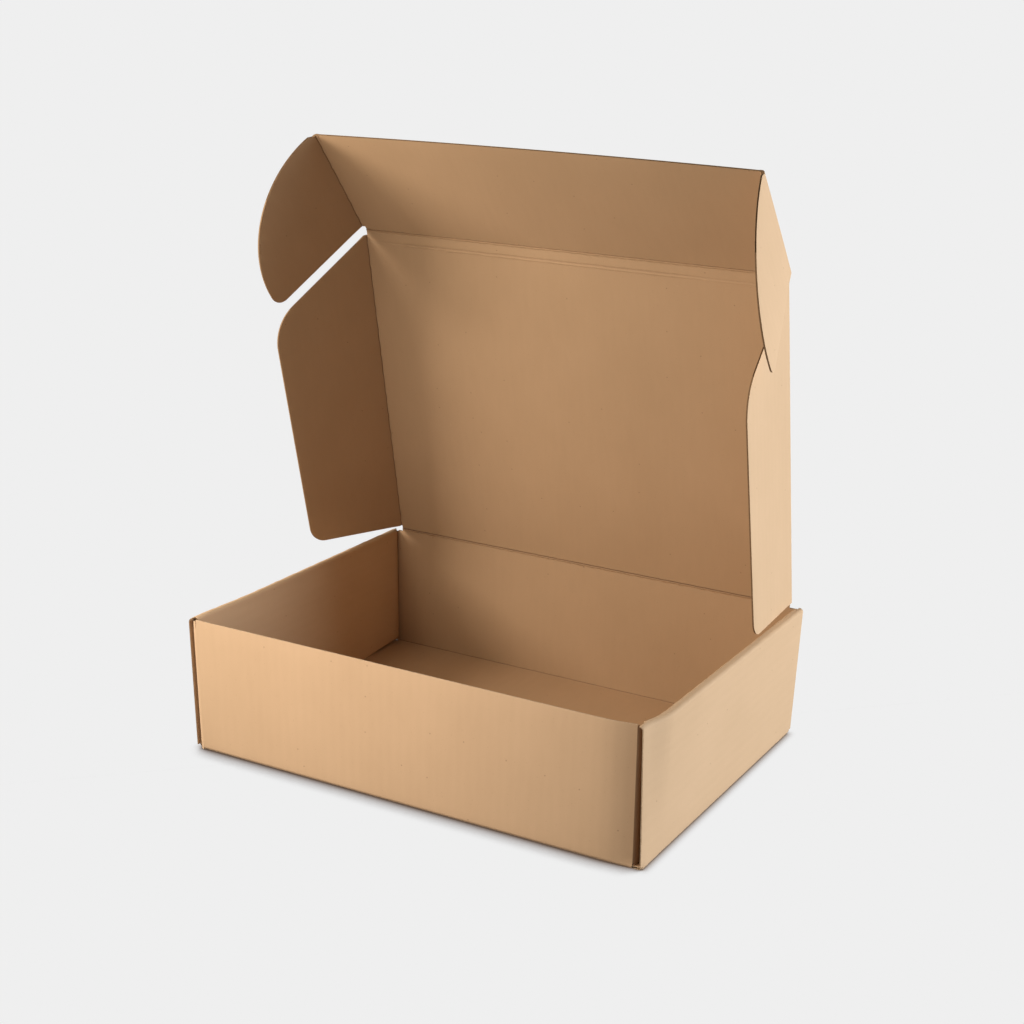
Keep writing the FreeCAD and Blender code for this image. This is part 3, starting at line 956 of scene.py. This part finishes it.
def make_side(side, name):
    outline = side_outline(INNER_HALF - (CURL + PANEL_SHORT if side > 0 else 0))
    bends = quarter_lines(BASE_HALF, BEND_MID) + quarter_lines(SIDE_OVER, BEND_MID)
    bends += quarter_lines(SIDE_DOWN, BEND_MID)
    if side < 0:
        outline, bends = mirrored_outline(outline), [-a for a in bends]
    # the right wall's cut rims get the painted highlight; the left wall's keep the darker
    # cut edge, there standing in for shade
    rim = highlit_edge if side > 0 else cut_edge
    rows = lines_between(-PLY_HALF, PLY_HALF, FLUTE_PITCH)[1:-1]

    def cut(a, b):
        return (np.abs(a) > BASE_HALF + 0.1) * np.where(b < 0, 1.7, 1)
    return board(name, outline, fold_side, a_extra=bends, b_extra=rows, rim=rim,
                 flutes=(False, True), cut=cut)


def tab_outline(start, radius):
    """A corner tab on the flat sheet. It clears the base, but its fold reaches down
    beside the base's corner."""
    high, low, foot = WALL_HIGH - BOARD - PLY_GAP, BOARD + TAB_CLEAR, 0.3
    turn = QUARTER * (radius - HALF)
    tip = start + turn + TAB_LONG
    back = tip - TAB_TRIM
    return [(start, foot), (start + 0.5 * turn, foot), (start + 0.6 * turn, low),
            (back, low), (tip, TAB_TRIM + 3), (tip, high - TAB_TRIM), (back, high),
            (start, high)]


def shade_corner_notch(piece):
    """Painted shade: darken the paper of the sharp corner's fold, deep in the notch beside
    the side panel's front edge.
    """
    points = np.zeros(len(piece.data.vertices) * 3, dtype=np.float32)
    piece.data.vertices.foreach_get("co", points)
    deep = points.reshape(-1, 3)[:, 1] / MM + HALF_DEEP
    dark = ease((deep - 1) / 1.2) * ease((24 - deep) / 8)
    piece.data.attributes["crush_and_shade"].data.foreach_set("value", dark.astype(np.float32))


def make_corner(side, end, name):
    radius, _, start = corner_shape(side, end)
    outline = tab_outline(start, radius)
    bends = quarter_lines(start, radius - HALF, 12)
    if side < 0:
        outline, bends = mirrored_outline(outline), [-a for a in bends]
    parts = board(name, outline, corner_fold(side, end), a_extra=bends,
                  cut=lambda a, b: np.abs(a) > start + 0.1)
    if end < 0:
        parts[0].data.flip_normals()
    # the sharp corner's notch gets painted shade
    if side > 0 and end < 0:
        shade_corner_notch(parts[0])
    return parts


def make_tray():
    parts = make_base_and_walls()
    for side, word in SIDES:
        parts += make_side(side, "side_" + word)
    for side, word in SIDES:
        for end, place in ((-1, "front"), (1, "back")):
            parts += make_corner(side, end, "corner_" + place + "_" + word)
    return smooth(joined("tray_board", parts))


def make_lid():
    wide, full = FLAP_AXIS - FOLD_GAP, FLAP_AXIS - SIDE_GAP
    right = [(wide, FOLD_GAP), (wide, FLAP_TOP), (full, FLAP_TOP),
             (full, FOLD_LENGTH - FOLD_GAP)]
    outline = right + [(-a, b) for a, b in reversed(right)]
    fold = leaf(HINGE, X, LID_UP, -LID_IN)
    crease = [FOLD_LENGTH - SECOND_CREASE + step for step in np.arange(-2.4, 1.7, 0.3)]
    parts = board("lid_board", outline, fold, (0, HINGE_ON_SHEET), b_extra=crease,
                  flutes=(False, False), press=press_lid,
                  cut=lambda a, b: np.zeros_like(a))
    return smooth(parts[0])


def droop(b):
    """How far the tuck flap's two ends bend inwards towards its free edge."""
    return 1.7 * (np.clip(b, 0, TUCK_DEEP) / TUCK_DEEP) ** 1.6


def make_tuck():
    wide = EAR_AXIS - FOLD_GAP
    outline = [(-wide, FOLD_GAP), (wide, FOLD_GAP), (wide, TUCK_DEEP), (-wide, TUCK_DEEP)]
    fold = leaf(TUCK_AT, X, TUCK_UP, -TUCK_IN,
                lambda a, b: -droop(b) * (a / EAR_AXIS) ** 2)
    parts = board("tuck_board", outline, fold, (0, TUCK_ON_SHEET), flutes=(False, True),
                  cut=lambda a, b: b > TUCK_DEEP - 0.1)
    return smooth(joined("tuck_board", parts))


def still(b):
    return 0 * b


class Record:
    """Named parts kept together."""

    def __init__(self, **parts):
        self.__dict__.update(parts)


class Mount(Record):
    """What a kind of flap hangs on: the parent's body, its plane and the fold's
    place and reach, with how far the fold bends inwards along its length."""

    def place(self, side, word):
        """The fold's axis, and the flap's run and outside face."""
        turn = folded(self.kind + "_" + word + "_fold")
        run = X * (side * math.cos(turn)) + self.inward * math.sin(turn)
        face = -self.inward * math.cos(turn) + X * (side * math.sin(turn))
        return Vector((side * self.reach, self.spot.y, self.spot.z)), run, face


ON_LID = Mount(kind="flap", body="lid", reach=FLAP_AXIS, spot=HINGE, up=LID_UP,
               inward=LID_IN, sheet=HINGE_ON_SHEET, span=(FLAP_START, FLAP_TOP),
               seed=8, bow=still)
ON_TUCK = Mount(kind="ear", body="tuck", reach=EAR_AXIS, spot=TUCK_AT, up=TUCK_UP,
                inward=TUCK_IN, sheet=TUCK_ON_SHEET, span=(EAR_START, TUCK_DEEP),
                seed=12, bow=droop)


def hung_board(mount, side, word, outline):
    """A flap or an ear from its outline, in which a is counted from the fold."""
    axis, run, face = mount.place(side, word)
    flat = leaf(axis, run * side, mount.up, face)

    def fold(a, b, height):
        return flat(a, b, height) + mount.bow(b)[:, None] * np.array(mount.inward)
    if side < 0:
        outline = mirrored_outline(outline)
    name = mount.kind + "_board_" + word
    parts = board(name, outline, fold, (side * mount.reach, mount.sheet),
                  cut=lambda a, b: np.abs(a) > FOLD_GAP + 0.1)
    return smooth(joined(name, parts))


def make_lid_flap(side, word):
    outline = rounded([(FOLD_GAP, FLAP_START), (FLAP_WIDE - FLAP_TAPER, FLAP_FOOT),
                       (FLAP_WIDE, FLAP_TOP - FLAP_DROP), (FOLD_GAP, FLAP_TOP)],
                      FLAP_ROUNDS, 14)
    return hung_board(ON_LID, side, word, outline)


def make_ear(side, word):
    outline = [(FOLD_GAP, EAR_START)]
    outline += arc_points((EAR_WIDE - EAR_TIP, EAR_START + EAR_TIP), EAR_TIP, -90, 0, 8)
    last = math.degrees(math.acos((FOLD_GAP - EAR_MIDDLE[0]) / EAR_RADIUS))
    outline += arc_points(EAR_MIDDLE, EAR_RADIUS, 0, last, 40)
    outline[-1] = (FOLD_GAP, TUCK_DEEP)
    return hung_board(ON_TUCK, side, word, outline)


# ---- creases

def curve_points(first, middle, last, steps=6):
    points = []
    for k in range(steps + 1):
        t = k / steps
        points.append(first * (1 - t) ** 2 + middle * (2 * t * (1 - t)) + last * t ** 2)
    return points


CREASE_SINK = 0.35
# how dark the inside of a crease is across it: crushed paper and painted shade in the
# groove
CRUSHED_AND_SHADED = [0, 0, 0.1, 0.5, 1.0, 0.5, 0.1, 0, 0]


class Crease(Record):
    """A fold between two panels. Before and after are the way across the fold and
    the outside, for the panel on each side of it."""

    beads = (0.3, 0.12)
    uneven = 0.12
    # how strongly the groove's inside is darkened, crushed paper and painted shade
    dark = 1.0

    def outer(self):
        """The outside of the fold, a small round."""
        (run_in, face_in), (run_out, face_out) = self.before, self.after
        soft = 1.4
        over = (face_in + face_out) * (HALF / (1 + run_in.dot(run_out)))
        first = face_in * HALF - run_in * FOLD_GAP
        last = face_out * HALF + run_out * FOLD_GAP
        start = face_in * HALF - run_in * soft
        stop = face_out * HALF + run_out * soft
        return [first] + curve_points(start, over, stop) + [last]

    def inner(self, station):
        """The inside: a crushed line with a bead on each side of it."""
        (run_in, face_in), (run_out, face_out) = self.before, self.after
        corner = (face_in + face_out) * (-HALF / (1 + run_in.dot(run_out)))
        out = (face_in + face_out).normalized()
        sway = float(wobble(station, self.seed, 13.0)) * self.uneven
        swell = 1 + 0.4 * float(wobble(station, self.seed + 3, 9.0))
        before, after = self.beads[0] * swell, self.beads[1] * swell
        first = face_in * -HALF - run_in * FOLD_GAP
        last = face_out * -HALF + run_out * FOLD_GAP
        steps = ((1.2, 0), (0.62, 1), (0.24, 0.35))
        near = [corner - run_in * (far - sway) - face_in * (before * high)
                for far, high in steps]
        beyond = [corner + run_out * (far + sway) - face_out * (after * high)
                  for far, high in reversed(steps)]
        middle = corner + (run_in + run_out) * (sway * 0.5)
        return [first, *near, middle + out * (CREASE_SINK * swell), *beyond, last]


def crease_mesh(crease, sheet, bent=None):
    """The crushed strip of board at a fold, from one panel's edge to the next."""
    outer = crease.outer()
    span = len(outer)
    stations = lines_between(*crease.span, 1.8)
    points, faces, sheet_points, crush_and_shade = [], [], [], []
    for station in stations:
        loop = outer + crease.inner(station)[::-1]
        shift = bent(station) if bent else Vector((0, 0, 0))
        for k, offset in enumerate(loop):
            spot = crease.axis + crease.lengthwise * station + offset + shift
            points.append(spot * MM)
            step = k if k < span else 2 * span - 1 - k
            part = -FOLD_GAP + 2 * FOLD_GAP * step / (span - 1)
            sheet_points.append(sheet(station, part))
            # the inside of the groove is darkened: crushed paper and painted shade
            crush_and_shade.append(0 if k < span else CRUSHED_AND_SHADED[step] * crease.dark)
    count = 2 * span
    for row in range(len(stations) - 1):
        for k in range(count):
            n = (k + 1) % count
            faces.append([row * count + k, row * count + n,
                          (row + 1) * count + n, (row + 1) * count + k])
    last_row = (len(stations) - 1) * count
    faces.append(list(range(count))[::-1])
    faces.append([last_row + k for k in range(count)])
    slots = [2 if k >= span - 1 else 0 for k in range(count)] * (len(stations) - 1)
    slots += [1, 1]
    piece = new_piece(crease.name, points, faces, slots,
                      [outer_liner, cut_edge, inner_liner],
                      np.array(sheet_points) * MM, crush_and_shade)
    bm = bmesh.new()
    bm.from_mesh(piece.data)
    bmesh.ops.recalc_face_normals(bm, faces=bm.faces[:])
    bm.to_mesh(piece.data)
    bm.free()
    return smooth(piece, 50)


def make_crease(crease, sheet, bent=None):
    piece = crease_mesh(crease, sheet, bent)
    outer, inner = crease.outer(), crease.inner(0)
    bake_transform(piece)
    return piece


def make_long_creases():
    """The lid's fold on the back wall and the tuck flap's fold on the lid."""
    half = FLAP_AXIS - SIDE_GAP
    upright = (Vector((0, 0, 1)), Vector((0, 1, 0)))
    lid = (LID_UP, -LID_IN)
    tuck = (TUCK_UP, -TUCK_IN)
    hinge = Crease(name="lid_crease", bodies=("tray", "lid"), axis=HINGE, lengthwise=X,
                   before=upright, after=lid, span=(-half, half), beads=(0.8, 0.1),
                   seed=1)
    make_crease(hinge, lambda s, t: (s, HINGE_ON_SHEET + t))
    top = Crease(name="tuck_crease", bodies=("lid", "tuck"), axis=TUCK_AT, lengthwise=X,
                 before=lid, after=tuck, span=(-half, half), beads=(0.7, 0.05),
                 dark=0.4, seed=5)
    make_crease(top, lambda s, t: (s, TUCK_ON_SHEET + t))


def make_side_crease(mount, side, word):
    """The fold of a lid flap or of an ear."""
    axis, run, face = mount.place(side, word)
    crease = Crease(name=mount.kind + "_crease_" + word, axis=axis,
                    bodies=(mount.body, mount.kind + "_" + word),
                    lengthwise=mount.up, before=(X * side, -mount.inward),
                    after=(run, face), span=mount.span, uneven=0.3,
                    seed=mount.seed + side)
    make_crease(crease, lambda s, t: (side * (mount.reach + t), mount.sheet + s),
                lambda s: mount.inward * float(mount.bow(s)))


def stand_in(piece, body, node):
    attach(piece, body)
    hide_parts(node)


def make_box():
    stand_in(make_tray(), "tray", "tray")
    stand_in(make_lid(), "lid", "lid_panel")
    stand_in(make_tuck(), "tuck", "tuck_flap")
    for side, word in SIDES:
        flap = make_lid_flap(side, word)
        stand_in(flap, "flap_" + word, "lid_flap_" + word)
        ear = make_ear(side, word)
        stand_in(ear, "ear_" + word, "tuck_ear_" + word)
    make_long_creases()
    for side, word in SIDES:
        for mount in (ON_LID, ON_TUCK):
            make_side_crease(mount, side, word)


# ---- studio

VIEW_AZIMUTH = math.radians(28.783)
VIEW_ELEVATION = math.radians(16.667)
VIEW_ROLL = math.radians(1.654)
VIEW_DISTANCE = 1.15283
VIEW_LENS = 63.5
AIM_RIGHT = 0.0075
AIM_UP = 0.14527

# the floor and backdrop as the camera sees them, and as they light the box
BACKDROP = 0.863
FLOOR_SHADE = 0.15
ROOM_LIGHT = 0.02
FLOOR_REACH = 40.0
LAMPS_AIM = (0, 0, 0.12)
LAMPS = (
    ("front_low", (-0.04, -0.38, 0.06), 0.28, 0.75, (1.0, 0.88, 0.80)),
    ("front_high", (-0.26, -0.38, 0.46), 0.28, 1.25, (1.0, 0.952, 0.84)),
    ("left_high", (-0.62, -0.42, 0.45), 0.28, 6.08, (1.0, 0.944, 0.865)),
    ("right_level", (1.345, 0.36, 0.296), 0.8, 28.3, (0.906, 0.952, 1.0)),
)

# floor colours from hidden to open, as found round a point on the floor
NARROW_REACH = 0.0062
FRONT_REACH = 0.019
FRONT_TILT = 55.0
NARROW_SHADOW = [(0.3, (0.34, 0.26, 0.20)), (0.56, (0.62, 0.57, 0.54)),
                 (0.66, (0.79, 0.77, 0.76)), (0.78, (0.91, 0.90, 0.90)),
                 (0.9, (0.98, 0.98, 0.98)), (1.0, (1, 1, 1))]
FRONT_SHADOW = [(0.0, (0.20, 0.15, 0.12)), (0.32, (0.52, 0.47, 0.45)),
                (0.41, (0.64, 0.62, 0.61)), (0.5, (0.80, 0.79, 0.79)),
                (0.62, (1, 1, 1))]


def make_camera():
    a, e, r = VIEW_AZIMUTH, VIEW_ELEVATION, VIEW_ROLL
    back = Vector((math.sin(a) * math.cos(e), -math.cos(a) * math.cos(e), math.sin(e)))
    right = Vector((math.cos(a), math.sin(a), 0))
    up = back.cross(right)
    right, up = (right * math.cos(r) + up * math.sin(r),
                 up * math.cos(r) - right * math.sin(r))
    data = bpy.data.cameras.new("camera")
    data.lens = VIEW_LENS
    data.sensor_width = 36
    camera = placed("camera", data)
    spot = right * AIM_RIGHT + up * AIM_UP + back * VIEW_DISTANCE
    turn = Matrix((right, up, back)).transposed().to_4x4()
    camera.matrix_world = Matrix.Translation(spot) @ turn
    bpy.context.scene.camera = camera


def soft_lamp(name, place, size, watts, colour):
    data = bpy.data.lights.new(name, "AREA")
    data.shape = "SQUARE"
    data.size = size
    data.energy = watts
    data.color = colour
    lamp = placed(name, data)
    towards = Vector(LAMPS_AIM) - Vector(place)
    lamp.matrix_world = (Matrix.Translation(place)
                         @ towards.to_track_quat("-Z", "Y").to_matrix().to_4x4())


def seen_instead(tree, shown, lighting, finish):
    """The shown shader for camera, mirror and see-through rays, and the lighting
    one for all others."""
    path = add_node(tree, "ShaderNodeLightPath").outputs
    seen = combine(tree, "MAXIMUM", path["Is Camera Ray"], path["Is Glossy Ray"])
    seen = combine(tree, "MAXIMUM", seen, path["Is Transmission Ray"])
    mix = add_node(tree, "ShaderNodeMixShader", {0: seen, 1: lighting, 2: shown})
    tree.links.new(mix.outputs[0], tree.nodes[finish].inputs["Surface"])


def make_world():
    world = bpy.data.worlds.new("studio")
    bpy.context.scene.world = world
    world.use_nodes = True
    tree = world.node_tree
    plain = tree.nodes["Background"]
    plain.inputs["Color"].default_value = (1, 1, 1, 1)
    plain.inputs["Strength"].default_value = ROOM_LIGHT
    shown = add_node(tree, "ShaderNodeBackground",
                     {"Color": (BACKDROP, BACKDROP, BACKDROP, 1), "Strength": 1.0})
    seen_instead(tree, shown.outputs[0], plain.outputs[0], "World Output")


def shade_near(tree, reach, lean, tones):
    """A floor colour from how closed in a point is within the given reach."""
    lean = math.radians(lean)
    way = add_node(tree, "ShaderNodeCombineXYZ", {"Y": math.sin(lean), "Z": math.cos(lean)})
    near = add_node(tree, "ShaderNodeAmbientOcclusion",
                    {"Distance": reach, "Normal": way.outputs[0]}, samples=12)
    ramp = add_node(tree, "ShaderNodeValToRGB", {0: near.outputs["AO"]})
    stops = ramp.color_ramp.elements
    for stop, (place, colour) in zip(stops, (tones[0], tones[-1])):
        stop.position, stop.color = place, (*colour, 1)
    for place, colour in tones[1:-1]:
        stops.new(place).color = (*colour, 1)
    return ramp.outputs[0]


def contact_shadow(tree):
    """A narrow shadow all round the box and a wider one in front of it."""
    narrow = shade_near(tree, NARROW_REACH, 0, NARROW_SHADOW)
    front = shade_near(tree, FRONT_REACH, FRONT_TILT, FRONT_SHADOW)
    return add_node(tree, "ShaderNodeMix", {"Factor": 1.0, "A": narrow, "B": front},
                    data_type="RGBA", blend_type="MULTIPLY").outputs["Result"]


def make_floor():
    """A pale floor that runs into the backdrop and keeps a close shadow."""
    mesh = bpy.data.meshes.new("floor")
    wide = FLOOR_REACH
    mesh.from_pydata([(-wide, -wide, 0), (wide, -wide, 0), (wide, wide, 0),
                      (-wide, wide, 0)], [], [[0, 1, 2, 3]])
    floor = placed("floor", mesh)
    floor.location.z = -0.0002
    material, tree, shader = blank_material("floor_paper")
    mesh.materials.append(material)
    shader.inputs["Base Color"].default_value = (FLOOR_SHADE, FLOOR_SHADE, FLOOR_SHADE, 1)
    shader.inputs["Roughness"].default_value = 1.0
    shader.inputs["Specular IOR Level"].default_value = 0.0
    glow = add_node(tree, "ShaderNodeEmission",
                    {"Strength": BACKDROP, "Color": contact_shadow(tree)})
    seen_instead(tree, glow.outputs[0], shader.outputs[0], "Material Output")


def light_box():
    """Soft lamps close to the left front corner, and one level with the right side."""
    make_world()
    for lamp in LAMPS:
        soft_lamp(*lamp)


make_box()
make_camera()
make_floor()
light_box()
bpy.context.scene.view_settings.view_transform = "Standard"
